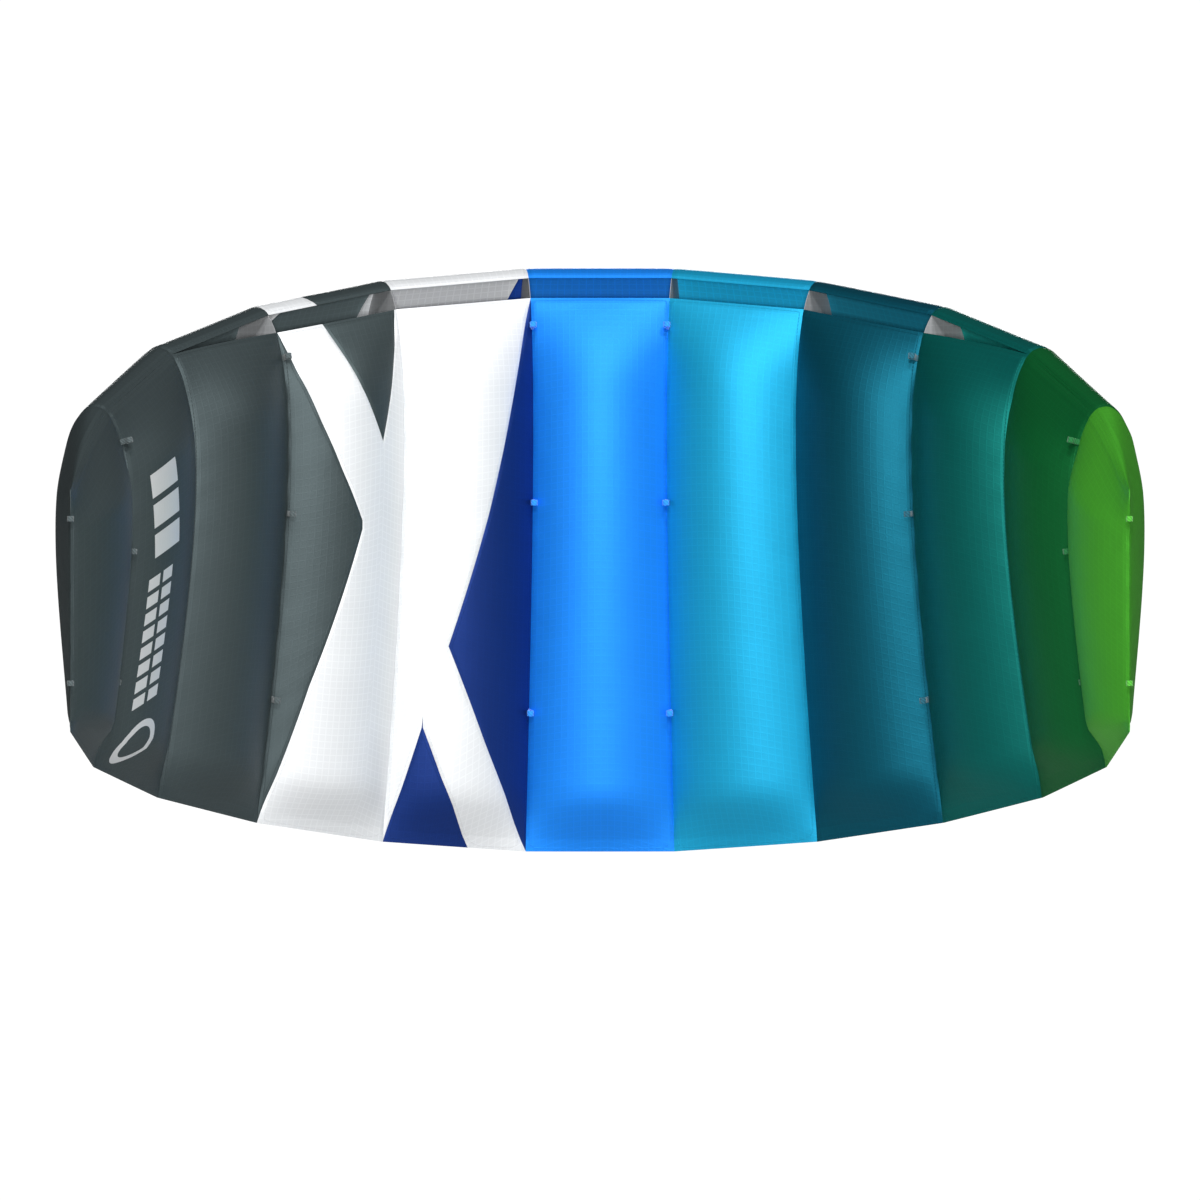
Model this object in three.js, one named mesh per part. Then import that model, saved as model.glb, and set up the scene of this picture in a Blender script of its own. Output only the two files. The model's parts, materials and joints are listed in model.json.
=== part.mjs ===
// Ram-air foil kite, inflated: upper and lower skins sewn over ribs, with the loops that take its bridle.
//
// Millimetres. +X is the right-hand tip as the pilot sees it, -Y points to the pilot and +Z to the
// leading edge. The ribs stand on a half circle about an axis parallel to Z, so both tips come forward
// to the pilot. The origin is on the centre cell's lower skin, a quarter of the chord behind its nose.
import * as THREE from 'three';

// Planform. A station is a rib line, numbered by its distance from the middle in cells: 0.5 to 5.5.
const SIDE_CELLS = 5;
const CELL_WIDTH = 109.1;
const ARC_TIP_TO_TIP = Math.PI;
const CENTRE_CHORD = 427;
const NOSE_ELLIPSE_HALF_SPAN = 7.75;
const NOSE_ELLIPSE_HEIGHT = 555;
const TIP_TAIL_RISE = 89;
const TAIL_RISE_POWER = 1.55;

// Section, in chords.
const SECTION_THICKNESS = 0.19;
const UPPER_DEPTH = 1.04;
const LOWER_DEPTH = 1.05;
const LOWER_DEPTH_LOSS = 0.22;
const LIP = 0.0163;
const INTAKE_END = 0.0506;
const OPEN_SIDE_CELLS = 2;

// Cloth. A skin's solid lies just outside the sewn shape, so the two skins keep clear along a hem.
const CLOTH = 1.5;
const CLEARANCE = 0.2;
const RIB_CLOTH = 1.2;
const SEAM_GAP = 0.6;
const HINGE_GAP = 4;
const BALLOON = 9;
const BALLOON_FRONT = 0.2;
const BALLOON_BACK = 0.85;
const CLOSED_NOSE_GAP = 0.01;

// Crossports, the holes that let air pass from cell to cell: where they are and their size in chords.
const CROSSPORTS = [
  { at: 0.2, radius: 0.042 },
  { at: 0.37, radius: 0.046 },
  { at: 0.55, radius: 0.036 },
];

// Bridle loops: folded webbing, in rows along the chord.
const LOOP_WIDTH = 6;
const LOOP_STEM = 0.9;
const LOOP_STEM_LENGTH = 2.4;
const LOOP_LENGTH = 9.4;
const LOOP_HALF = 2.5;
const LOOP_TAPE = 0.9;
const LOOP_GAP = 0.5;
const LOOP_RIBS = [1, 3, 5];
const LOOP_ROWS = { a: 0.1, b: 0.4, c: 0.76 };
const TIP_LOOP_ROWS = { a: 0.12, b: 0.8 };

// Mesh steps.
const SPAN_STEPS = 4;
const UPPER_STEPS = 12;
const LOWER_STEPS = 8;
const RIB_STEPS = 24;
const PORT_SIDES = 12;

const RIPSTOP = { roughness: 0.55, metalness: 0 };
const CENTRE_COLOUR = '#2191fa';
const LEFT_COLOURS = ['#f4f5f6', '#f4f5f6', '#4a5456', '#4a5456', '#4a5456'];
const RIGHT_COLOURS = ['#22afe1', '#105a6e', '#0a5f5a', '#015a2f', '#3f9031'];
const RIB_COLOUR = '#86898c';
const LOOP_COLOUR = '#24272a';

const CELL_ANGLE = ARC_TIP_TO_TIP / (2 * SIDE_CELLS + 1);
const ARC_RADIUS = CELL_WIDTH / 2 / Math.sin(CELL_ANGLE / 2);
const TIP = SIDE_CELLS + 0.5;
const OUTER = CLEARANCE + CLOTH;

const mix = THREE.MathUtils.lerp;
const ease = THREE.MathUtils.smoothstep;

// The section runs from t = -1 at the tail, along the lower side, by t = 0 at the nose, to t = 1 at the
// tail again. The distance behind the nose is t squared, in chords.
function sectionHeight(t) {
  const s = t * t;
  const half = 5 * SECTION_THICKNESS * (
    0.2969 * Math.sqrt(s) - 0.126 * s - 0.3516 * s ** 2 + 0.2843 * s ** 3 - 0.1036 * s ** 4
  );
  return t < 0 ? -half * (LOWER_DEPTH - LOWER_DEPTH_LOSS * s) : half * UPPER_DEPTH;
}

const noseEllipse = (n) => NOSE_ELLIPSE_HEIGHT * Math.sqrt(1 - (n / NOSE_ELLIPSE_HALF_SPAN) ** 2);

function stationAt(n) {
  const out = Math.abs(n);
  const tail = TIP_TAIL_RISE * ((out - 0.5) / SIDE_CELLS) ** TAIL_RISE_POWER;
  const nose = CENTRE_CHORD + noseEllipse(out) - noseEllipse(0.5);
  return { n, angle: n * CELL_ANGLE, nose, chord: nose - tail, fullness: out < TIP ? 1 : 0 };
}

const lowerMiddle = (ARC_RADIUS + sectionHeight(-0.5) * CENTRE_CHORD) * Math.cos(CELL_ANGLE / 2);
const ORIGIN = new THREE.Vector3(0, lowerMiddle - BALLOON - OUTER, 0.75 * CENTRE_CHORD);

// A section point of a station: height above the chord line, and height along Z.
function sectionPoint(station, t) {
  return new THREE.Vector2(
    station.fullness * station.chord * sectionHeight(t),
    station.nose - t * t * station.chord,
  );
}

// The outward direction of a section at t, in the section's own plane.
function sectionNormal(station, t) {
  const step = 0.001;
  const along = sectionPoint(station, t + step).sub(sectionPoint(station, t - step));
  return new THREE.Vector2(-along.y, along.x).normalize();
}

const radial = (angle) => new THREE.Vector3(Math.sin(angle), Math.cos(angle), 0);

function inWing(station, point) {
  const place = radial(station.angle).multiplyScalar(ARC_RADIUS + point.x);
  place.z = point.y;
  return place.sub(ORIGIN);
}

// Where the upper skin's lip, and the lower skin's front edge, run at a station.
const lipAt = (n) => (Math.abs(n) < TIP ? -Math.sqrt(LIP) : 0);

function lowerFrontAt(n) {
  const open = Math.abs(n) < OPEN_SIDE_CELLS + 1;
  return open ? -Math.sqrt(INTAKE_END) : lipAt(n) - CLOSED_NOSE_GAP;
}

// A point on the sewn shape of the cell between two stations, u of the way from the first to the second,
// swollen by a share of the balloon.
function cellPoint(left, right, u, t, swell) {
  const place = inWing(left, sectionPoint(left, t)).lerp(inWing(right, sectionPoint(right, t)), u);
  const s = t * t;
  const room = Math.min(left.chord, right.chord) / CENTRE_CHORD;
  const fill = ease(s, 0, BALLOON_FRONT) * (1 - ease(s, BALLOON_BACK, 1)) * 4 * u * (1 - u);
  const rise = Math.sign(t) * BALLOON * room * fill * swell;
  return place.addScaledVector(radial((left.angle + right.angle) / 2), rise);
}

// A closed sheet over a surface(a, b, swell), for a and b from 0 to 1. It stands off the surface along the
// normal of the same surface unswollen, which keeps its edges square to the seams.
function sheetGeometry(surface, stepsA, stepsB) {
  const positions = [];
  const index = [];
  const row = stepsB + 1;
  const sideSize = (stepsA + 1) * row;
  const at = (i, j) => i * row + j;
  const step = 0.01;
  for (const lift of [OUTER, CLEARANCE]) {
    for (let i = 0; i <= stepsA; i++) {
      for (let j = 0; j <= stepsB; j++) {
        const a = i / stepsA;
        const b = j / stepsB;
        const alongA = surface(Math.min(a + step, 1), b, 0).sub(surface(Math.max(a - step, 0), b, 0));
        const alongB = surface(a, Math.min(b + step, 1), 0).sub(surface(a, Math.max(b - step, 0), 0));
        const normal = alongA.cross(alongB).normalize();
        positions.push(...surface(a, b, 1).addScaledVector(normal, lift));
      }
    }
  }
  for (let i = 0; i < stepsA; i++) {
    for (let j = 0; j < stepsB; j++) {
      const quad = [at(i, j), at(i + 1, j), at(i + 1, j + 1), at(i, j + 1)];
      const [p, q, r, s] = quad;
      const [pi, qi, ri, si] = quad.map((k) => k + sideSize);
      index.push(p, q, r, p, r, s, pi, ri, qi, pi, si, ri);
    }
  }
  const rim = [];
  for (let i = 0; i < stepsA; i++) rim.push(at(i, 0));
  for (let j = 0; j < stepsB; j++) rim.push(at(stepsA, j));
  for (let i = stepsA; i > 0; i--) rim.push(at(i, stepsB));
  for (let j = stepsB; j > 0; j--) rim.push(at(0, j));
  rim.forEach((p, k) => {
    const q = rim[(k + 1) % rim.length];
    index.push(q, p, p + sideSize, q, p + sideSize, q + sideSize);
  });
  const geometry = new THREE.BufferGeometry();
  geometry.setAttribute('position', new THREE.Float32BufferAttribute(positions, 3));
  geometry.setIndex(index);
  geometry.computeVertexNormals();
  return geometry;
}

function addMesh(name, geometry, colour, finish = RIPSTOP) {
  const mesh = new THREE.Mesh(geometry, new THREE.MeshStandardMaterial({ color: colour, ...finish }));
  mesh.name = name;
  wing.add(mesh);
  return mesh;
}

// Upper and lower skins of one cell. The cell hinges on its inboard rib, so its skins start clear of it.
function addCell(cell, label, colour) {
  const left = stationAt(cell - 0.5);
  const right = stationAt(cell + 0.5);
  const narrowest = CELL_WIDTH * (1 - SECTION_THICKNESS);
  const trim = (gap, station) => (Math.abs(station.n) < TIP ? (RIB_CLOTH / 2 + gap) / narrowest : 0);
  const from = trim(cell > 0 ? HINGE_GAP : SEAM_GAP, left);
  const to = 1 - trim(cell < 0 ? HINGE_GAP : SEAM_GAP, right);
  const upper = (a, b, swell) => {
    const u = mix(from, to, a);
    return cellPoint(left, right, u, mix(mix(lipAt(left.n), lipAt(right.n), u), 1, b), swell);
  };
  const lower = (a, b, swell) => {
    const u = mix(to, from, a);
    return cellPoint(left, right, u, mix(mix(lowerFrontAt(left.n), lowerFrontAt(right.n), u), -1, b), swell);
  };
  addMesh(`upper_skin_${label}`, sheetGeometry(upper, SPAN_STEPS, UPPER_STEPS), colour);
  addMesh(`lower_skin_${label}`, sheetGeometry(lower, SPAN_STEPS, LOWER_STEPS), colour);
}

// A rib: the section as a flat plate standing out as far as the skins' outer faces, with its crossports.
function addRib(n, label) {
  const station = stationAt(n);
  const outline = [];
  for (let k = 0; k <= RIB_STEPS; k++) {
    const t = mix(-1, 1, k / RIB_STEPS);
    outline.push(sectionPoint(station, t).addScaledVector(sectionNormal(station, t), OUTER));
  }
  const shape = new THREE.Shape(outline);
  for (const port of CROSSPORTS) {
    const t = Math.sqrt(port.at);
    const middle = sectionPoint(station, t).lerp(sectionPoint(station, -t), 0.5);
    const hole = new THREE.Path();
    hole.absarc(middle.x, middle.y, port.radius * station.chord, 0, 2 * Math.PI);
    shape.holes.push(new THREE.Path(hole.getSpacedPoints(PORT_SIDES).slice(0, -1)));
  }
  const geometry = new THREE.ExtrudeGeometry(shape, { depth: RIB_CLOTH, bevelEnabled: false });
  geometry.translate(0, 0, -RIB_CLOTH / 2);
  const out = radial(station.angle);
  const up = new THREE.Vector3(0, 0, 1);
  const across = out.clone().cross(up);
  const rib = addMesh(`rib_${label}`, geometry, RIB_COLOUR);
  rib.quaternion.setFromRotationMatrix(new THREE.Matrix4().makeBasis(out, up, across));
  rib.position.copy(out.multiplyScalar(ARC_RADIUS)).sub(ORIGIN);
}

// A loop's outline, standing up along Y from its sewn end, with the eye that a bridle line passes through.
function loopGeometry() {
  const shoulder = LOOP_STEM_LENGTH + LOOP_HALF - LOOP_STEM;
  const top = LOOP_LENGTH - LOOP_HALF + LOOP_STEM;
  const side = (sign, half, low, high, end, stem) => [
    new THREE.Vector2(sign * half, low),
    new THREE.Vector2(sign * half, high),
    new THREE.Vector2(sign * stem, end),
  ];
  const right = side(1, LOOP_HALF, shoulder, top, LOOP_LENGTH, LOOP_STEM);
  const left = side(-1, LOOP_HALF, shoulder, top, LOOP_LENGTH, LOOP_STEM).reverse();
  const shape = new THREE.Shape([
    new THREE.Vector2(-LOOP_STEM, 0),
    new THREE.Vector2(LOOP_STEM, 0),
    new THREE.Vector2(LOOP_STEM, LOOP_STEM_LENGTH),
    ...right,
    ...left,
    new THREE.Vector2(-LOOP_STEM, LOOP_STEM_LENGTH),
  ]);
  const eyeHalf = LOOP_HALF - LOOP_TAPE;
  const eyeEnd = LOOP_LENGTH - LOOP_TAPE;
  const eyeStem = LOOP_STEM * eyeHalf / LOOP_HALF;
  const eyeRight = side(1, eyeHalf, shoulder + LOOP_TAPE / 2, top - LOOP_TAPE / 2, eyeEnd, eyeStem);
  const eyeLeft = side(-1, eyeHalf, shoulder + LOOP_TAPE / 2, top - LOOP_TAPE / 2, eyeEnd, eyeStem).reverse();
  shape.holes.push(new THREE.Path([new THREE.Vector2(0, shoulder - LOOP_TAPE), ...eyeRight, ...eyeLeft]));
  const geometry = new THREE.ExtrudeGeometry(shape, { depth: LOOP_WIDTH, bevelEnabled: false });
  return geometry.translate(0, 0, -LOOP_WIDTH / 2);
}

// A loop standing out of a seam at a place, with its tape's width along the seam.
function addLoop(name, place, out, along) {
  const loop = addMesh(`bridle_loop_${name}`, loopGeometry(), LOOP_COLOUR);
  loop.quaternion.setFromRotationMatrix(new THREE.Matrix4().makeBasis(out.clone().cross(along), out, along));
  loop.position.copy(place).addScaledVector(out, LOOP_GAP);
}

function addRibLoop(n, name, behindNose) {
  const station = stationAt(n);
  const t = -Math.sqrt(behindNose);
  const normal = sectionNormal(station, t);
  const place = inWing(station, sectionPoint(station, t).addScaledVector(normal, OUTER));
  const toRow = (flat) => radial(station.angle).multiplyScalar(flat.x).setZ(flat.y);
  addLoop(name, place, toRow(normal), toRow(new THREE.Vector2(-normal.y, normal.x)));
}

function addTipLoop(side, name, behindNose) {
  const tip = stationAt(side * TIP);
  const place = inWing(tip, sectionPoint(tip, Math.sqrt(behindNose)));
  addLoop(name, place, new THREE.Vector3(0, -1, 0), new THREE.Vector3(0, 0, 1));
}

const wing = new THREE.Group();
addCell(0, 'centre', CENTRE_COLOUR);
for (const [side, label, colours] of [[-1, 'left', LEFT_COLOURS], [1, 'right', RIGHT_COLOURS]]) {
  for (let k = 1; k <= SIDE_CELLS; k++) {
    addCell(side * k, `${label}_${k}`, colours[k - 1]);
    addRib(side * (k - 0.5), `${label}_${k}`);
  }
  for (const rib of LOOP_RIBS) {
    for (const [row, behindNose] of Object.entries(LOOP_ROWS)) {
      addRibLoop(side * (rib - 0.5), `${label}_${rib}${row}`, behindNose);
    }
  }
  for (const [row, behindNose] of Object.entries(TIP_LOOP_ROWS)) {
    addTipLoop(side, `${label}_tip_${row}`, behindNose);
  }
}

export default wing;
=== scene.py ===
"""Looks of a ram-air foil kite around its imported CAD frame: ballooned ripstop skins, ribs and bridle loops.

Metres, +X to the right-hand tip, -Y to the pilot, +Z to the leading edge, as in the frame.
"""
import json
import math

import bmesh
import bpy
import numpy as np
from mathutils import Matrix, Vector
from mathutils.geometry import tessellate_polygon


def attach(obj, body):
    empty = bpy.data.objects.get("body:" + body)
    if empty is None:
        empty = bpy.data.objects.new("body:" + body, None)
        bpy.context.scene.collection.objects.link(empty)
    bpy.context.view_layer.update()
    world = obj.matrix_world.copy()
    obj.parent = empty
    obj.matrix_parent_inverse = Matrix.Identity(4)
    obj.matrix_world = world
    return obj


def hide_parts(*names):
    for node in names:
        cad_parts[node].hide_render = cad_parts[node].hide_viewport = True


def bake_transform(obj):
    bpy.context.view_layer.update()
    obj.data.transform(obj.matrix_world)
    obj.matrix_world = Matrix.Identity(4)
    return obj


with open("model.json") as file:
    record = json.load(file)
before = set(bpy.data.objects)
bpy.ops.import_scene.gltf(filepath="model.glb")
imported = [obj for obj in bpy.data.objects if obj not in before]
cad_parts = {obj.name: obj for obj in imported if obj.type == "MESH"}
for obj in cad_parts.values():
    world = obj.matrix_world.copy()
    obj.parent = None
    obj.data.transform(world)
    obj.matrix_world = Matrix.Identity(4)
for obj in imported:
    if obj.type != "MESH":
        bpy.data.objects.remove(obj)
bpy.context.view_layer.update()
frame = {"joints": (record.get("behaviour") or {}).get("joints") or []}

# ---- The wing's driving dimensions, as in the CAD part ----
SIDE_CELLS = 5
CELL_WIDTH = 0.1091
CENTRE_CHORD = 0.427
NOSE_ELLIPSE_HALF_SPAN = 7.75
NOSE_ELLIPSE_HEIGHT = 0.555
TIP_TAIL_RISE = 0.089
TAIL_RISE_POWER = 1.55
SECTION_THICKNESS = 0.19
UPPER_DEPTH = 1.04
LOWER_DEPTH = 1.05
LOWER_DEPTH_LOSS = 0.22
LIP = 0.0163
INTAKE_END = 0.0506
OPEN_SIDE_CELLS = 2
LOWER_BALLOON = 0.019
UPPER_BALLOON = 0.006
BALLOON_FRONT = 0.2
BALLOON_BACK = 0.9
CROSSPORTS = ((0.2, 0.042), (0.37, 0.046), (0.55, 0.036))
LOOP_ROWS = {"a": 0.1, "b": 0.4, "c": 0.76}
TIP_LOOP_ROWS = {"a": 0.12, "b": 0.8}

CELL_ANGLE = math.pi / (2 * SIDE_CELLS + 1)
ARC_RADIUS = CELL_WIDTH / 2 / math.sin(CELL_ANGLE / 2)
TIP = SIDE_CELLS + 0.5

# ---- Cloth ----
CLOTH = 0.0003
HEM = 0.006
HEM_RISE = 0.0004
STEP_WIDTH = 0.0003
WELD = 0.00002
NO_SEAM = 1.0
RIM_ANGLE = math.radians(50)
RIPSTOP_PITCH = 0.005

# Puckers: little waves that run along a seam and die out beside it.
PUCKER = 0.0003
PUCKER_REACH = 0.010
PUCKER_LENGTH = 0.0052
PUCKER_DRIFT = 2.1
PUCKER_DRIFT_LENGTH = 0.031
PUCKER_START = 0.002
SEAM_GROOVE = 0.0006
SEAM_GROOVE_WIDTH = 0.0012

# Mesh steps, and how much they crowd towards a cell's seams.
SPAN_CROWDING = 0.65
SPAN_STEPS = 22
LOWER_STEPS = 64
UPPER_STEPS = 76


def section_height(t):
    """Height of the section off its chord line; t is the root of the share behind the nose, minus below."""
    s = t * t
    half = 5 * SECTION_THICKNESS * (
        0.2969 * np.sqrt(s) - 0.126 * s - 0.3516 * s**2 + 0.2843 * s**3 - 0.1036 * s**4
    )
    return np.where(t < 0, -half * (LOWER_DEPTH - LOWER_DEPTH_LOSS * s), half * UPPER_DEPTH)


def nose_ellipse(n):
    return NOSE_ELLIPSE_HEIGHT * math.sqrt(1 - (n / NOSE_ELLIPSE_HALF_SPAN) ** 2)


def station_at(n):
    """A rib line, numbered by its distance from the middle in cells."""
    out = abs(n)
    tail = TIP_TAIL_RISE * ((out - 0.5) / SIDE_CELLS) ** TAIL_RISE_POWER
    nose = CENTRE_CHORD + nose_ellipse(out) - nose_ellipse(0.5)
    return {"n": n, "angle": n * CELL_ANGLE, "nose": nose, "chord": nose - tail, "fullness": float(out < TIP)}


def cad_origin():
    """The frame's origin, from where the CAD says its first hinge stands."""
    first = next(j for j in frame["joints"] if j["name"] == "seam_right_1")
    y = ARC_RADIUS * math.cos(CELL_ANGLE / 2) - first["pos_m"][1]
    return np.array([0.0, y, 0.75 * CENTRE_CHORD])


ORIGIN = cad_origin()
T_STEP = 0.001


def radial(angle):
    return np.array([math.sin(angle), math.cos(angle), 0.0])


def section_points(station, t, lift=0.0):
    """Points in the frame on a station's section at t, lifted off it."""
    t = np.asarray(t, float)

    def place(q):
        height = station["fullness"] * station["chord"] * section_height(q)
        return np.stack([height, station["nose"] - q * q * station["chord"]], -1)

    flat = place(t)
    if lift:
        along = place(t + T_STEP) - place(t - T_STEP)
        normal = np.stack([-along[..., 1], along[..., 0]], -1)
        flat = flat + lift * normal / np.linalg.norm(normal, axis=-1, keepdims=True)
    spoke = radial(station["angle"])
    out = spoke * (ARC_RADIUS + flat[..., :1])
    out[..., 2] = flat[..., 1]
    return out - ORIGIN


def LEFT_SEAM(s):
    """A boundary at the cell's left seam, for each s."""
    return np.zeros_like(s)


def RIGHT_SEAM(s):
    """A boundary at the cell's right seam, for each s."""
    return np.ones_like(s)


def smooth(x, low, high):
    x = np.clip((x - low) / (high - low), 0, 1)
    return x * x * (3 - 2 * x)


def lip_at(n):
    """Where the upper skin starts at a station, as t."""
    return -math.sqrt(LIP) if abs(n) < TIP else 0.0


def lower_front_at(n):
    """Where the lower skin starts at a station, as t: behind the intake where the cell is open."""
    return -math.sqrt(INTAKE_END) if abs(n) < OPEN_SIDE_CELLS + 1 else lip_at(n)


def cell_points(left, right, u, t, balloon):
    """Points on the inflated shape of the cell between two stations, u of the way across it."""
    base = section_points(left, t) * (1 - u)[..., None] + section_points(right, t) * u[..., None]
    s = t * t
    fill = smooth(s, 0, BALLOON_FRONT) * (1 - smooth(s, BALLOON_BACK, 1)) * 4 * u * (1 - u)
    rise = np.sign(t) * balloon * fill
    return base + rise[..., None] * radial((left["angle"] + right["angle"]) / 2)


# ---- Meshes ----
def mesh_object(name, vertices, faces, material):
    mesh = bpy.data.meshes.new(name)
    mesh.from_pydata([tuple(v) for v in vertices], [], [tuple(int(i) for i in f) for f in faces])
    mesh.materials.append(material)
    mesh.polygons.foreach_set("use_smooth", [True] * len(mesh.polygons))
    mesh.update()
    thing = bpy.data.objects.new(name, mesh)
    bpy.context.scene.collection.objects.link(thing)
    return thing


def store(thing, name, values):
    """Keeps one number or vector a vertex on the mesh, for its material."""
    values = np.asarray(values, np.float32)
    kind, field = ("FLOAT", "value") if values.ndim == 1 else ("FLOAT_VECTOR", "vector")
    attribute = thing.data.attributes.new(name, kind, "POINT")
    attribute.data.foreach_set(field, values.ravel())


def grid_normals(points):
    """Unit normals of a grid of points (rows along, columns across)."""
    along = np.gradient(points, axis=0)
    across = np.gradient(points, axis=1)
    normal = np.cross(across, along)
    return normal / np.maximum(np.linalg.norm(normal, axis=-1, keepdims=True), 1e-12)


def steps_with_bands(count, length, band):
    """Fractions from 0 to 1 with a sharp little step at a band's width from each end."""
    inner = np.linspace(0, 1, count + 1)
    cut, lip = band / length, STEP_WIDTH / length
    marks = [cut - lip, cut, 1 - cut, 1 - cut + lip]
    inner = inner[(np.abs(inner - cut) > 2 * lip) & (np.abs(inner - 1 + cut) > 2 * lip)]
    return np.unique(np.concatenate([inner, marks]))


def interpolate(points, s):
    """A boundary given by (distance behind the nose, share across the cell) pairs, at s."""
    known = np.array(points, float)
    return np.interp(s, known[:, 0], known[:, 1])


def skin_grid(left, right, upper, across, front, low, high):
    """One sewn area of a cell's skin between two boundaries: its points, and each one's u and s."""
    count = UPPER_STEPS if upper else LOWER_STEPS
    chord = (left["chord"] + right["chord"]) / 2
    q = steps_with_bands(count, chord, HEM)[:, None]
    t_tail = 1.0 if upper else -1.0
    balloon = UPPER_BALLOON if upper else LOWER_BALLOON
    guess = front(0.5) * (1 - q) + t_tail * q
    s = np.sign(guess) * t_tail * guess * guess
    u = low(s) * (1 - across) + high(s) * across
    t = front(u) * (1 - q) + t_tail * q
    return cell_points(left, right, u, t, balloon), u, s


def sheet_faces(rows, columns, offset, flip):
    i, j = np.meshgrid(np.arange(rows - 1), np.arange(columns - 1), indexing="ij")
    a = offset + i * columns + j
    quads = np.stack([a, a + 1, a + columns + 1, a + columns], -1).reshape(-1, 4)
    return quads[:, ::-1] if flip else quads


def closed_sheet(name, grids, material, inside):
    """A thin closed cloth from grids of outer points, welded where they meet, with its own inner face."""
    faces, offset = [], 0
    for grid in grids:
        rows, columns = grid["points"].shape[:2]
        faces.append(sheet_faces(rows, columns, offset, grid["turned"]))
        offset += rows * columns
    points = np.vstack([g["points"].reshape(-1, 3) for g in grids])
    thing = mesh_object(name, points, np.vstack(faces), material)
    store(thing, "cloth", np.vstack([g["cloth"].reshape(-1, 3) for g in grids]))
    store(thing, "edge", np.concatenate([g["edge"].reshape(-1) for g in grids]))
    made = bmesh.new()
    made.from_mesh(thing.data)
    bmesh.ops.remove_doubles(made, verts=made.verts, dist=WELD)
    bmesh.ops.dissolve_degenerate(made, edges=made.edges, dist=WELD)
    bmesh.ops.delete(made, geom=[e for e in made.edges if not e.link_faces], context="EDGES")
    bmesh.ops.delete(made, geom=[v for v in made.verts if not v.link_faces], context="VERTS")
    made.to_mesh(thing.data)
    made.free()
    thing.data.materials.append(inside)
    thicken(thing)
    return thing


def thicken(thing):
    """Gives an open cloth its thickness, inwards, with closed rims."""
    solid = thing.modifiers.new("thickness", "SOLIDIFY")
    solid.thickness = CLOTH
    solid.offset = -1
    solid.material_offset = 1
    ready = thing.evaluated_get(bpy.context.evaluated_depsgraph_get())
    open_mesh, thing.data = thing.data, bpy.data.meshes.new_from_object(ready)
    thing.data.name = thing.name
    thing.data.set_sharp_from_angle(angle=RIM_ANGLE)
    thing.modifiers.clear()
    bpy.data.meshes.remove(open_mesh)


def sewn_area(cell, upper, low, high, seams):
    """The outer face of one sewn area of a skin, with its hems raised and its seams puckered.

    seams says, for the low and the high side, how much of a seam there is at each s.
    """
    left, right = station_at(cell - 0.5), station_at(cell + 0.5)
    front_of = lip_at if upper else lower_front_at

    def front(u):
        return front_of(left["n"]) * (1 - u) + front_of(right["n"]) * u

    even = np.linspace(0, 1, SPAN_STEPS + 1)
    crowded = 0.5 - 0.5 * np.cos(math.pi * even)
    across = (SPAN_CROWDING * crowded + (1 - SPAN_CROWDING) * even)[None, :]
    points, u, s = skin_grid(left, right, upper, across, front, low, high)
    normals = grid_normals(points)
    outward = radial((left["angle"] + right["angle"]) / 2) * (1 if upper else -1)
    turned = (normals @ outward).sum() < 0
    if turned:
        normals = -normals
    side = np.linalg.norm(np.diff(points, axis=1), axis=-1).cumsum(1)
    side = np.concatenate([np.zeros((len(side), 1)), side], 1)
    run = np.linalg.norm(np.diff(points, axis=0), axis=-1).cumsum(0)
    run = np.concatenate([np.zeros((1, run.shape[1])), run], 0)
    to_low = side + NO_SEAM * (1 - seams[0](s))
    to_high = side[:, -1:] - side + NO_SEAM * (1 - seams[1](s))
    to_side = np.minimum(to_low, to_high)
    to_end = np.minimum(run, run[-1:] - run)
    hem = to_end < HEM - STEP_WIDTH / 2
    drift = PUCKER_DRIFT * np.sin(run / PUCKER_DRIFT_LENGTH + cell)
    pucker = np.exp(-to_side / PUCKER_REACH) * np.sin(run / PUCKER_LENGTH + drift)
    fade = smooth(to_side, 0, PUCKER_START) * smooth(to_end, 0, HEM)
    groove = 1 - np.exp(-to_side / SEAM_GROOVE_WIDTH)
    lift = HEM_RISE * hem + PUCKER * pucker * fade + SEAM_GROOVE * groove * smooth(to_end, 0, HEM)
    return {
        "points": points + normals * lift[..., None],
        "turned": bool(turned),
        "cloth": np.stack([CELL_WIDTH * u, run, np.full_like(run, float(cell))], -1),
        "edge": np.minimum(to_side, to_end),
        "width": side[:, -1],
    }


# ---- Materials ----
# Lengths in metres of cloth; noise scales are waves per metre.
YARN = 0.0006
WEAVE_SCALE = 1400
BLOTCH_SCALE = 22
CREASE_SCALE = 70
WEAVE_DEPTH = 0.00012
CREASE_DEPTH = 0.0012
STITCH_DEPTH = 0.0003
STITCH_INSET = 0.0025
RIB_STITCH_INSET = 0.003
STITCH_PITCH = 0.0028
STITCH_GAP = 0.28
THREAD = 0.0004
THREAD_SHADE = 0.82
TWILL_SCALE = 260
RIB_COLOUR = "a8aaac"


def tree_of(name):
    """A new material with its node tree and its shader."""
    material = bpy.data.materials.new(name)
    material.use_nodes = True
    tree = material.node_tree
    return material, tree, tree.nodes["Principled BSDF"]


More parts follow.
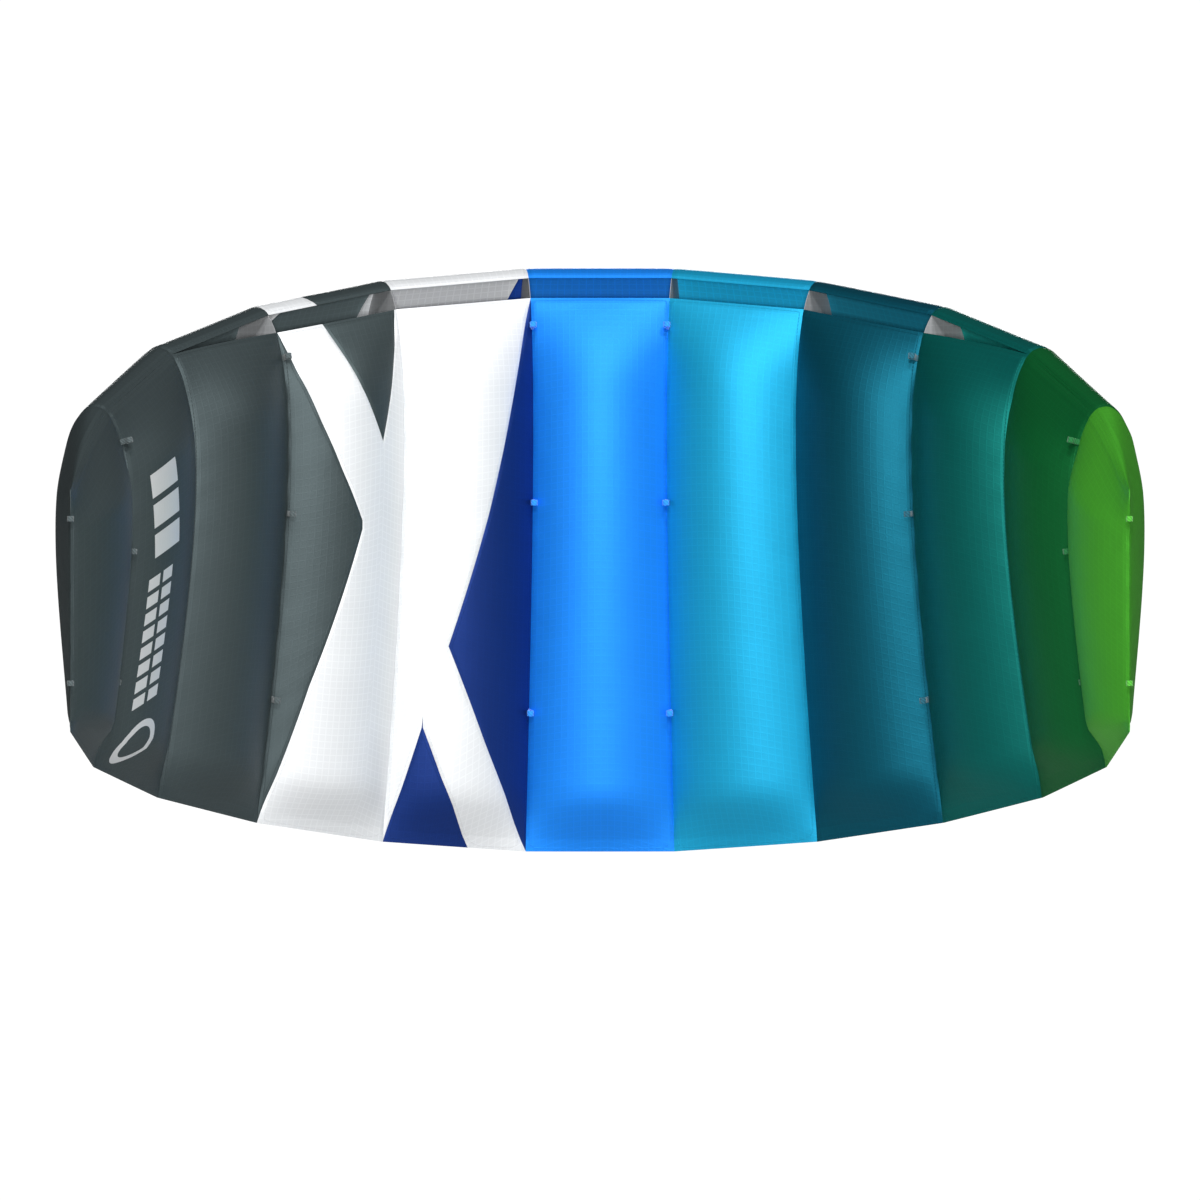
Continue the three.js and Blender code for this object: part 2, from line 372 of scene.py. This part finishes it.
class Nodes:
    """Short names for the shader nodes that the cloths share."""

    def __init__(self, tree):
        self.tree = tree

    def new(self, kind, **settings):
        node = self.tree.nodes.new(kind)
        for key, value in settings.items():
            setattr(node, key, value)
        return node

    def link(self, a, b):
        self.tree.links.new(a, b)

    def attribute(self, name, output):
        return self.new("ShaderNodeAttribute", attribute_name=name).outputs[output]

    def math(self, operation, *inputs):
        node = self.new("ShaderNodeMath", operation=operation)
        for socket, value in zip(node.inputs, inputs):
            if isinstance(value, (int, float)):
                socket.default_value = value
            else:
                self.link(value, socket)
        return node.outputs[0]

    def noise(self, vector, scale, detail=2.0, roughness=0.5):
        node = self.new("ShaderNodeTexNoise")
        node.inputs["Scale"].default_value = scale
        node.inputs["Detail"].default_value = detail
        node.inputs["Roughness"].default_value = roughness
        self.link(vector, node.inputs["Vector"])
        return node.outputs["Fac"]

    def span(self, value, low, high, to_low, to_high):
        node = self.new("ShaderNodeMapRange")
        for key, number in zip(("From Min", "From Max", "To Min", "To Max"), (low, high, to_low, to_high)):
            node.inputs[key].default_value = number
        self.link(value, node.inputs["Value"])
        return node.outputs["Result"]

    def shade(self, colour, factor, amount):
        """colour times a factor that runs round 1 by amount."""
        node = self.new("ShaderNodeMix", data_type="RGBA", blend_type="MULTIPLY")
        node.inputs["Factor"].default_value = 1.0
        node.inputs["A"].default_value = (*colour, 1)
        grey = self.new("ShaderNodeCombineColor")
        level = self.span(factor, 0, 1, 1 - amount, 1 + amount)
        for key in ("Red", "Green", "Blue"):
            self.link(level, grey.inputs[key])
        self.link(grey.outputs["Color"], node.inputs["B"])
        return node.outputs["Result"]

    def bumps(self, height, strength, distance, normal=None):
        node = self.new("ShaderNodeBump")
        node.inputs["Strength"].default_value = strength
        node.inputs["Distance"].default_value = distance
        self.link(height, node.inputs["Height"])
        if normal is not None:
            self.link(normal, node.inputs["Normal"])
        return node.outputs["Normal"]


def linear(hexed):
    """An sRGB colour such as 'ff8800' as linear numbers."""
    found = []
    for k in (0, 2, 4):
        c = int(hexed[k:k + 2], 16) / 255
        found.append(c / 12.92 if c <= 0.04045 else ((c + 0.055) / 1.055) ** 2.4)
    return tuple(found)


def grid_lines(nodes, cloth):
    """1 on the thicker yarns of a ripstop's grid, 0 between them."""
    split = nodes.new("ShaderNodeSeparateXYZ")
    nodes.link(cloth, split.inputs[0])
    lines = []
    for axis in ("X", "Y"):
        phase = nodes.math("FRACT", nodes.math("DIVIDE", split.outputs[axis], RIPSTOP_PITCH))
        away = nodes.math("ABSOLUTE", nodes.math("SUBTRACT", phase, 0.5))
        lines.append(nodes.span(away, 0.5 - YARN / RIPSTOP_PITCH, 0.5, 0, 1))
    return nodes.math("MAXIMUM", *lines)


def stitching(nodes, edge, cloth, inset):
    """1 along a line of stitches at a distance from the sewn edge."""
    split = nodes.new("ShaderNodeSeparateXYZ")
    nodes.link(cloth, split.inputs[0])
    along = nodes.math("ADD", split.outputs["Y"], split.outputs["X"])
    phase = nodes.math("FRACT", nodes.math("DIVIDE", along, STITCH_PITCH))
    dash = nodes.math("GREATER_THAN", phase, STITCH_GAP)
    away = nodes.math("ABSOLUTE", nodes.math("SUBTRACT", edge, inset))
    return nodes.math("MULTIPLY", nodes.span(away, 0, THREAD, 1, 0), dash)


def bars(nodes, x, y, corner, size, pitch, share, slant):
    """1 on a column of slanted printed bars, in cloth coordinates."""
    low = nodes.math("SUBTRACT", y, corner[1])
    leaned = nodes.math("SUBTRACT", nodes.math("SUBTRACT", x, corner[0]), nodes.math("MULTIPLY", low, slant))
    inside = nodes.math("MULTIPLY", between(nodes, leaned, size[0]), between(nodes, low, size[1]))
    phase = nodes.math("FRACT", nodes.math("DIVIDE", low, pitch))
    return nodes.math("MULTIPLY", inside, nodes.math("LESS_THAN", phase, share))


def between(nodes, value, length):
    """1 where a value is from 0 to length."""
    above = nodes.math("GREATER_THAN", value, 0.0)
    return nodes.math("MULTIPLY", above, nodes.math("LESS_THAN", value, length))


def ring(nodes, x, y, centre, radius, width):
    """1 on a printed ring."""
    across = nodes.math("POWER", nodes.math("SUBTRACT", x, centre[0]), 2.0)
    along = nodes.math("POWER", nodes.math("SUBTRACT", y, centre[1]), 2.0)
    away = nodes.math("SQRT", nodes.math("ADD", across, along))
    off = nodes.math("ABSOLUTE", nodes.math("SUBTRACT", away, radius))
    return nodes.math("LESS_THAN", off, width / 2)


def plain_print(nodes, cloth):
    """A plain white mark of slanted bars and a ring, printed along the cell."""
    split = nodes.new("ShaderNodeSeparateXYZ")
    nodes.link(cloth, split.inputs[0])
    x, y = split.outputs["X"], split.outputs["Y"]
    big = {"size": (0.026, 0.064), "pitch": 0.023, "share": 0.78, "slant": 0.1}
    small = {"size": (0.010, 0.096), "pitch": 0.0125, "share": 0.7, "slant": 0.0}
    marks = [
        bars(nodes, x, y, (0.018, 0.060), **big),
        bars(nodes, x, y, (0.021, 0.138), **small),
        bars(nodes, x, y, (0.034, 0.138), **small),
        ring(nodes, x, y, centre=(0.032, 0.264), radius=0.014, width=0.005),
    ]
    mark = marks[0]
    for other in marks[1:]:
        mark = nodes.math("MAXIMUM", mark, other)
    return mark


def ripstop(name, hexed, metal, rough, printed=False):
    """Coated ripstop nylon: a fine shiny weave with a grid of thicker yarns, stitched near its edges."""
    material, tree, shader = tree_of(name)
    nodes = Nodes(tree)
    cloth = nodes.attribute("cloth", "Vector")
    edge = nodes.attribute("edge", "Fac")
    lines = grid_lines(nodes, cloth)
    weave = nodes.noise(cloth, WEAVE_SCALE, 1.0)
    blotch = nodes.noise(cloth, BLOTCH_SCALE, 2.0)
    creases = nodes.noise(cloth, CREASE_SCALE, 3.0, 0.55)
    stitches = stitching(nodes, edge, cloth, STITCH_INSET)
    value = nodes.math("ADD", nodes.math("MULTIPLY", blotch, 0.55), nodes.math("MULTIPLY", lines, 0.45))
    tinted = nodes.shade(linear(hexed), value, 0.09)
    sewn = nodes.new("ShaderNodeMix", data_type="RGBA", blend_type="MULTIPLY")
    nodes.link(nodes.math("MULTIPLY", stitches, 0.6), sewn.inputs["Factor"])
    nodes.link(tinted, sewn.inputs["A"])
    sewn.inputs["B"].default_value = (THREAD_SHADE, THREAD_SHADE, THREAD_SHADE, 1)
    colour = sewn.outputs["Result"]
    if printed:
        inked = nodes.new("ShaderNodeMix", data_type="RGBA")
        nodes.link(plain_print(nodes, cloth), inked.inputs["Factor"])
        nodes.link(colour, inked.inputs["A"])
        inked.inputs["B"].default_value = (*linear(PRINT_INK), 1)
        colour = inked.outputs["Result"]
    nodes.link(colour, shader.inputs["Base Color"])
    nodes.link(nodes.span(weave, 0.3, 0.7, rough - 0.05, rough + 0.06), shader.inputs["Roughness"])
    shader.inputs["Metallic"].default_value = metal
    shader.inputs["IOR"].default_value = 1.5
    normal = nodes.bumps(creases, 0.10, CREASE_DEPTH)
    normal = nodes.bumps(weave, 0.10, WEAVE_DEPTH, normal)
    normal = nodes.bumps(lines, 0.30, WEAVE_DEPTH, normal)
    normal = nodes.bumps(stitches, 0.5, STITCH_DEPTH, normal)
    nodes.link(normal, shader.inputs["Normal"])
    return material


def inner_face(name, hexed):
    """The uncoated side of a ripstop: matt, its dye brightened up to 2.3 times as painted light that stands
    in for light shining through the cloth into the cell.
    """
    material, tree, shader = tree_of(f"inside_{name}")
    nodes = Nodes(tree)
    cloth = nodes.attribute("cloth", "Vector")
    lines = grid_lines(nodes, cloth)
    weave = nodes.noise(cloth, WEAVE_SCALE, 1.0)
    dyed = linear(hexed)
    # Painted light: the dye is brightened so that the inside of the cell looks lit through the cloth.
    painted_light_gain = min(INSIDE_PAINTED_LIGHT_GAIN, INSIDE_PAINTED_LIGHT_LIMIT / max(dyed))
    painted_light_colour = tuple(channel * painted_light_gain for channel in dyed)
    nodes.link(nodes.shade(painted_light_colour, lines, 0.08), shader.inputs["Base Color"])
    nodes.link(nodes.span(weave, 0.3, 0.7, 0.65, 0.8), shader.inputs["Roughness"])
    normal = nodes.bumps(weave, 0.15, WEAVE_DEPTH)
    nodes.link(nodes.bumps(lines, 0.3, WEAVE_DEPTH, normal), shader.inputs["Normal"])
    return material


def rib_cloth():
    """Plain grey ripstop without a coating, for the ribs."""
    material, tree, shader = tree_of("rib_cloth")
    nodes = Nodes(tree)
    cloth = nodes.attribute("cloth", "Vector")
    edge = nodes.attribute("edge", "Fac")
    lines = grid_lines(nodes, cloth)
    weave = nodes.noise(cloth, WEAVE_SCALE, 1.0)
    stitches = stitching(nodes, edge, cloth, RIB_STITCH_INSET)
    pattern = nodes.math("ADD", nodes.math("MULTIPLY", lines, 0.6), stitches)
    tinted = nodes.shade(linear(RIB_COLOUR), pattern, 0.10)
    nodes.link(tinted, shader.inputs["Base Color"])
    nodes.link(nodes.span(weave, 0.3, 0.7, 0.6, 0.75), shader.inputs["Roughness"])
    normal = nodes.bumps(weave, 0.15, WEAVE_DEPTH)
    nodes.link(nodes.bumps(lines, 0.3, WEAVE_DEPTH, normal), shader.inputs["Normal"])
    return material


def webbing(name, hexed):
    """Matt woven tape with a diagonal twill."""
    material, tree, shader = tree_of(f"webbing_{name}")
    nodes = Nodes(tree)
    cloth = nodes.attribute("cloth", "Vector")
    twill = nodes.new("ShaderNodeTexWave", wave_type="BANDS", bands_direction="DIAGONAL")
    twill.inputs["Scale"].default_value = TWILL_SCALE
    nodes.link(cloth, twill.inputs["Vector"])
    nodes.link(nodes.shade(linear(hexed), twill.outputs["Fac"], 0.25), shader.inputs["Base Color"])
    shader.inputs["Roughness"].default_value = 0.8
    shader.inputs["Sheen Weight"].default_value = 0.3
    nodes.link(nodes.bumps(twill.outputs["Fac"], 0.5, 0.0002), shader.inputs["Normal"])
    return material


PRINT_INK = "d9dbdc"
# How far the inner faces' dye is brightened as painted light inside the cells, and the highest a channel may
# reach.
INSIDE_PAINTED_LIGHT_GAIN = 2.3
INSIDE_PAINTED_LIGHT_LIMIT = 0.95
PRINTED_CELL = -4
CLOTHS = {
    "azure": "138af3",
    "white": "e0e2e4",
    "charcoal": "475254",
    "navy": "032d76",
    "cyan": "0fa1cc",
    "petrol": "055a6e",
    "teal": "006c65",
    "dark_green": "00682f",
    "bright_green": "49ac2c",
}
GLOSS = {
    "white": (0.25, 0.55),
    "charcoal": (0.7, 0.56),
    "petrol": (0.85, 0.52),
    "teal": (0.8, 0.54),
    "dark_green": (0.68, 0.56),
}
PLAIN_GLOSS = (0.6, 0.58)
MATERIALS = {
    name: ripstop(f"ripstop_{name}", code, *GLOSS.get(name, PLAIN_GLOSS)) for name, code in CLOTHS.items()
}
INSIDES = {name: inner_face(name, code) for name, code in CLOTHS.items()}
PRINTED = ripstop("ripstop_charcoal_printed", CLOTHS["charcoal"], *GLOSS["charcoal"], printed=True)
RIB_MATERIAL = rib_cloth()

# ---- Skins ----
def line(*pairs):
    """A boundary through (distance behind the nose, share across the cell from its left seam) pairs."""
    return lambda s: interpolate(pairs, s)


# Boundaries between sewn colours. Distances are shares of the chord.
CHARCOAL_EDGE = line(
    (0.045, 0), (0.13, 0.085), (0.225, 0.205), (0.325, 0.363), (0.428, 0.552), (0.73, 0.227), (1, 0)
)
DART_LEFT = line((0.045, 0.357), (0.102, 0.432), (0.178, 0.54), (0.279, 0.722), (1, 0.722))
DART_RIGHT = line((0.045, 0.985), (0.114, 0.928), (0.186, 0.833), (0.279, 0.722), (1, 0.722))
NAVY_EDGE = line(
    (0.05, 1), (0.094, 0.945), (0.189, 0.841), (0.307, 0.726),
    (0.42, 0.61), (0.65, 0.341), (0.825, 0.652), (1, 1),
)
CORNER_LEFT = line((0.791, 0.193), (1, 0))
CORNER_RIGHT = line((0.791, 0.193), (0.895, 0.36), (1, 0.593))
UPPER_DART_LEFT = line((-0.02, 0.4), (0, 0.36), (0.12, 0), (1, 0))
UPPER_DART_RIGHT = line((-0.02, 1), (0, 1), (0.35, 0.5), (0.7, 0), (1, 0))
UPPER_NAVY_EDGE = line((-0.02, 1), (0, 1), (0.052, 0.908), (0.36, 0.39), (0.8, 1), (1, 1))

JOINED = 1e-4
PLAIN = {
    -5: "charcoal", -4: "charcoal", -3: "charcoal", 0: "azure",
    1: "cyan", 2: "petrol", 3: "teal", 4: "dark_green", 5: "bright_green",
}
PATTERNS = {
    (-2, False): {
        "white": [(CHARCOAL_EDGE, DART_LEFT), (DART_RIGHT, RIGHT_SEAM)],
        "charcoal": [(LEFT_SEAM, CHARCOAL_EDGE)],
        "charcoal_dart": [(DART_LEFT, DART_RIGHT)],
    },
    (-1, False): {
        "white": [(LEFT_SEAM, CORNER_LEFT), (CORNER_RIGHT, NAVY_EDGE)],
        "navy": [(NAVY_EDGE, RIGHT_SEAM)],
        "navy_corner": [(CORNER_LEFT, CORNER_RIGHT)],
    },
    (-2, True): {
        "white": [(LEFT_SEAM, UPPER_DART_LEFT), (UPPER_DART_RIGHT, RIGHT_SEAM)],
        "charcoal_dart": [(UPPER_DART_LEFT, UPPER_DART_RIGHT)],
    },
    (-1, True): {
        "white": [(LEFT_SEAM, UPPER_NAVY_EDGE)],
        "navy": [(UPPER_NAVY_EDGE, RIGHT_SEAM)],
    },
}


def SEWN(s):
    """A seam at every s."""
    return np.ones_like(s)


def gap(high, low):
    """1 where another cloth is sewn in between two spans, 0 where they are one cloth."""
    return lambda s: (low(s) - high(s) > JOINED).astype(float)


def label_of(cell):
    return "centre" if cell == 0 else f"{'left' if cell < 0 else 'right'}_{abs(cell)}"


def follow(piece, cell):
    """A centre cell's piece rides on the centre cell; any other piece only has its placement baked into its
    mesh.
    """
    if cell == 0:
        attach(piece, "centre")
        return
    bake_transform(piece)


def add_skin(cell, upper):
    """The cloth of one cell's upper or lower skin, a piece for each sewn-in colour."""
    face = "upper" if upper else "lower"
    node = f"{face}_skin_{label_of(cell)}"
    areas = PATTERNS.get((cell, upper)) or {PLAIN[cell]: [(LEFT_SEAM, RIGHT_SEAM)]}
    for order, (area, spans) in enumerate(areas.items()):
        cloth = area.removesuffix("_dart").removesuffix("_corner")
        grids = []
        for k, (low, high) in enumerate(spans):
            before = gap(spans[k - 1][1], low) if k else SEWN
            after = gap(high, spans[k + 1][0]) if k + 1 < len(spans) else SEWN
            grids.append(sewn_area(cell, upper, low, high, (before, after)))
        name = f"{face}_panel_{label_of(cell)}" + (f"_{area}" if len(areas) > 1 else "")
        printed = cell == PRINTED_CELL and not upper
        piece = closed_sheet(name, grids, PRINTED if printed else MATERIALS[cloth], INSIDES[cloth])
        follow(piece, cell)
        if order == 0:
            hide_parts(node)


# ---- Ribs ----
RIB_STEPS = 60
PORT_STEPS = 40
RIB_INSET = -0.0004


def add_rib(n, label, body):
    """A rib's cloth: its section with round crossports."""
    station = station_at(n)
    spoke, across = radial(station["angle"]), radial(station["angle"] + math.pi / 2)
    middle = ARC_RADIUS * spoke - ORIGIN

    def flat(points):
        return np.stack([(points - middle) @ spoke, points[..., 2]], -1)

    outline = flat(section_points(station, np.linspace(-1, 1, RIB_STEPS + 1), RIB_INSET))
    loops = [outline]
    for at, radius in CROSSPORTS:
        t = math.sqrt(at)
        centre = (flat(section_points(station, t)) + flat(section_points(station, -t))) / 2
        a = np.linspace(0, 2 * math.pi, PORT_STEPS, endpoint=False)
        loops.append(centre + radius * station["chord"] * np.stack([np.cos(a), np.sin(a)], -1))
    flat_points = np.vstack(loops)
    faces = filled(loops)
    in_frame = middle + flat_points[:, :1] * spoke
    in_frame[:, 2] = flat_points[:, 1]
    outer, inner = in_frame + across * CLOTH / 2, in_frame - across * CLOTH / 2
    size = len(outer)
    walls = []
    start = 0
    for outline_points in loops:
        k = np.arange(len(outline_points)) + start
        after = np.roll(k, -1)
        walls.append(np.stack([k, after, after + size, k + size], -1))
        start += len(outline_points)
    walls = np.vstack(walls)
    vertices = np.vstack([outer, inner])
    all_faces = [tuple(f) for f in faces] + [tuple(i + size for i in reversed(f)) for f in faces]
    all_faces += [tuple(w) for w in walls]
    piece = mesh_object(f"rib_cloth_{label}", vertices, all_faces, RIB_MATERIAL)
    piece.data.polygons.foreach_set("use_smooth", [False] * len(piece.data.polygons))
    consistent(piece)
    both = np.vstack([flat_points, flat_points])
    store(piece, "cloth", np.column_stack([both, np.zeros(len(both))]))
    store(piece, "edge", np.zeros(len(both)))
    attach(piece, body)
    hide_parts(f"rib_{label}")


def filled(loops):
    """Triangles between an outline and its holes."""
    polygons = [[Vector((p[0], p[1], 0)) for p in ring] for ring in loops]
    return [tuple(f) for f in tessellate_polygon(polygons)]


def consistent(thing):
    """Turns every face of a closed mesh outwards."""
    made = bmesh.new()
    made.from_mesh(thing.data)
    bmesh.ops.recalc_face_normals(made, faces=made.faces)
    made.to_mesh(thing.data)
    made.free()


# ---- Bridle loops ----
LOOP_WIDTH = 0.004
TAPE = 0.0008
LOOP_LENGTH = 0.0094
LOOP_HALF = 0.0025
LOOP_STEM = 0.0009
LOOP_STEM_LENGTH = 0.0026
LOOP_STEPS = 28
LOOP_SEWN_IN = 0.0004
LOOP_STAND_OFF = 0.0002
TAPE_EDGE = 0.0002
LIFT_STEP = 0.001
WEBBINGS = {}


def loop_material(cell):
    """Tape dyed like the cell that the loop is sewn to."""
    cloth = PLAIN.get(cell, "charcoal")
    if cloth not in WEBBINGS:
        WEBBINGS[cloth] = webbing(cloth, CLOTHS[cloth])
    return WEBBINGS[cloth]


def loop_path():
    """The middle of the tape, from one sewn end round the eye to the other, in the loop's own plane."""
    half = LOOP_HALF - TAPE / 2
    stem = LOOP_STEM - TAPE / 2
    centre = LOOP_LENGTH - TAPE / 2 - half
    turn = np.linspace(-0.25 * math.pi, 1.25 * math.pi, LOOP_STEPS)
    eye = np.stack([half * np.cos(turn), centre + half * np.sin(turn)], -1)
    neck = [[stem, LOOP_STEM_LENGTH * 0.55], [stem * 1.3, LOOP_STEM_LENGTH]]
    ends = np.array([[stem, -LOOP_SEWN_IN], *neck])
    return np.vstack([ends, eye, ends[::-1] * [-1, 1]])


def add_loop(node, place, out, along, cell):
    """A loop of folded tape that stands out of a seam at a place."""
    path = loop_path()
    tangent = np.gradient(path, axis=0)
    tangent /= np.linalg.norm(tangent, axis=1, keepdims=True)
    normal = np.stack([tangent[:, 1], -tangent[:, 0]], -1)
    run = np.concatenate([[0], np.linalg.norm(np.diff(path, axis=0), axis=1).cumsum()])
    side = np.cross(out, along)
    corners = []
    for across_tape, lift in ((-1, -1), (-1, 1), (1, 1), (1, -1)):
        flat = path + normal * TAPE / 2 * lift
        corners.append(place + flat[:, :1] * side + flat[:, 1:] * out + along * across_tape * LOOP_WIDTH / 2)
    points = np.stack(corners, 1)
    rows = len(points)
    faces = []
    for i in range(rows - 1):
        for k in range(4):
            a, b = i * 4 + k, i * 4 + (k + 1) % 4
            faces.append((a, b, b + 4, a + 4))
    faces += [(3, 2, 1, 0), tuple((rows - 1) * 4 + k for k in range(4))]
    piece = mesh_object(f"{node}_tape", points.reshape(-1, 3), faces, loop_material(cell))
    consistent(piece)
    bevel = piece.modifiers.new("soft edges", "BEVEL")
    bevel.width = TAPE_EDGE
    bevel.segments = 2
    bevel.limit_method = "ANGLE"
    across_cloth = np.tile([0, 0, LOOP_WIDTH, LOOP_WIDTH], rows)
    cloth = np.stack([np.repeat(run, 4), across_cloth, np.zeros(rows * 4)], -1)
    store(piece, "cloth", cloth)
    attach(piece, label_of(cell))
    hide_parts(node)


def add_rib_loop(n, node, behind_nose, cell):
    """A loop on a rib's lower seam."""
    station = station_at(n)
    t = -math.sqrt(behind_nose)
    place = section_points(station, t, LOOP_STAND_OFF)
    out = section_points(station, t, LIFT_STEP) - section_points(station, t)
    out /= np.linalg.norm(out)
    along = section_points(station, t + T_STEP) - section_points(station, t - T_STEP)
    along /= np.linalg.norm(along)
    add_loop(node, place, out, along, cell)


def add_tip_loop(side, node, behind_nose):
    """A loop on the seam at a tip, pointing at the pilot."""
    place = section_points(station_at(side * TIP), math.sqrt(behind_nose))
    add_loop(node, place, np.array([0, -1.0, 0]), np.array([0, 0, 1.0]), side * SIDE_CELLS)


for cell in range(-SIDE_CELLS, SIDE_CELLS + 1):
    for upper in (False, True):
        add_skin(cell, upper)
for side, name in ((-1, "left"), (1, "right")):
    for k in range(1, SIDE_CELLS + 1):
        cell = side * (k - 1)
        add_rib(side * (k - 0.5), f"{name}_{k}", label_of(cell))
        if k % 2:
            for row, behind in LOOP_ROWS.items():
                add_rib_loop(side * (k - 0.5), f"bridle_loop_{name}_{k}{row}", behind, cell)
    for row, behind in TIP_LOOP_ROWS.items():
        add_tip_loop(side, f"bridle_loop_{name}_tip_{row}", behind)

# ---- Stage ----
FRAME_WIDTH = 0.8785
VIEW_CENTRE_Z = -0.1359
CAMERA_DISTANCE = 30.0
SENSOR = 36
FLOOR_Z = -0.8
FLOOR_SIZE = 10
FLOOR_GREY = 0.6
BACKDROP = 1.05
SKY_LIGHT = 0.05
LIT_POINT = (0, 0, -0.1)
LAMPS = (
    ("key", (0, -10.5, 5.6), 1.6, 500),
    ("fill", (0, -12, -0.1), 1.6, 760),
    ("high", (0, -6.5, 9.8), 1.6, 560),
    ("side", (4.5, -6.5, 9), 1.6, 400),
    ("back", (0, 9, 1.5), 3.0, 420),
)


def add_floor():
    """A plain pale floor well below the kite."""
    bpy.ops.mesh.primitive_plane_add(size=FLOOR_SIZE, location=(0, 0, FLOOR_Z))
    floor = bpy.context.object
    floor.name = "floor"
    material, _, shader = tree_of("floor")
    shader.inputs["Base Color"].default_value = (FLOOR_GREY, FLOOR_GREY, FLOOR_GREY, 1)
    shader.inputs["Roughness"].default_value = 0.9
    floor.data.materials.append(material)


def add_world():
    """A white backdrop that lights the kite only a little."""
    world = bpy.data.worlds.new("studio")
    bpy.context.scene.world = world
    world.use_nodes = True
    nodes = Nodes(world.node_tree)
    seen = world.node_tree.nodes["Background"]
    seen.inputs["Color"].default_value = (1, 1, 1, 1)
    seen.inputs["Strength"].default_value = BACKDROP
    lit = nodes.new("ShaderNodeBackground")
    lit.inputs["Color"].default_value = (1, 1, 1, 1)
    lit.inputs["Strength"].default_value = SKY_LIGHT
    path = nodes.new("ShaderNodeLightPath")
    mix = nodes.new("ShaderNodeMixShader")
    nodes.link(path.outputs["Is Camera Ray"], mix.inputs["Fac"])
    nodes.link(lit.outputs[0], mix.inputs[1])
    nodes.link(seen.outputs[0], mix.inputs[2])
    nodes.link(mix.outputs[0], world.node_tree.nodes["World Output"].inputs["Surface"])


def add_light(name, place, size, power):
    """A soft round light that faces the kite."""
    light = bpy.data.lights.new(name, "AREA")
    light.shape = "DISK"
    light.size = size
    light.energy = power
    lamp = bpy.data.objects.new(name, light)
    lamp.location = place
    lamp.rotation_euler = (Vector(LIT_POINT) - Vector(place)).to_track_quat("-Z", "Y").to_euler()
    bpy.context.scene.collection.objects.link(lamp)


def add_camera():
    """A far camera on the pilot's side, as the photograph is seen, with almost no perspective."""
    camera = bpy.data.cameras.new("camera")
    camera.sensor_width = SENSOR
    camera.lens = camera.sensor_width * CAMERA_DISTANCE / FRAME_WIDTH
    camera.clip_end = 200
    seen = bpy.data.objects.new("camera", camera)
    seen.location = (0, -CAMERA_DISTANCE, VIEW_CENTRE_Z)
    seen.rotation_euler = (math.pi / 2, 0, 0)
    bpy.context.scene.collection.objects.link(seen)
    bpy.context.scene.camera = seen


add_floor()
add_world()
for lamp in LAMPS:
    add_light(*lamp)
add_camera()
bpy.context.scene.view_settings.view_transform = "Standard"
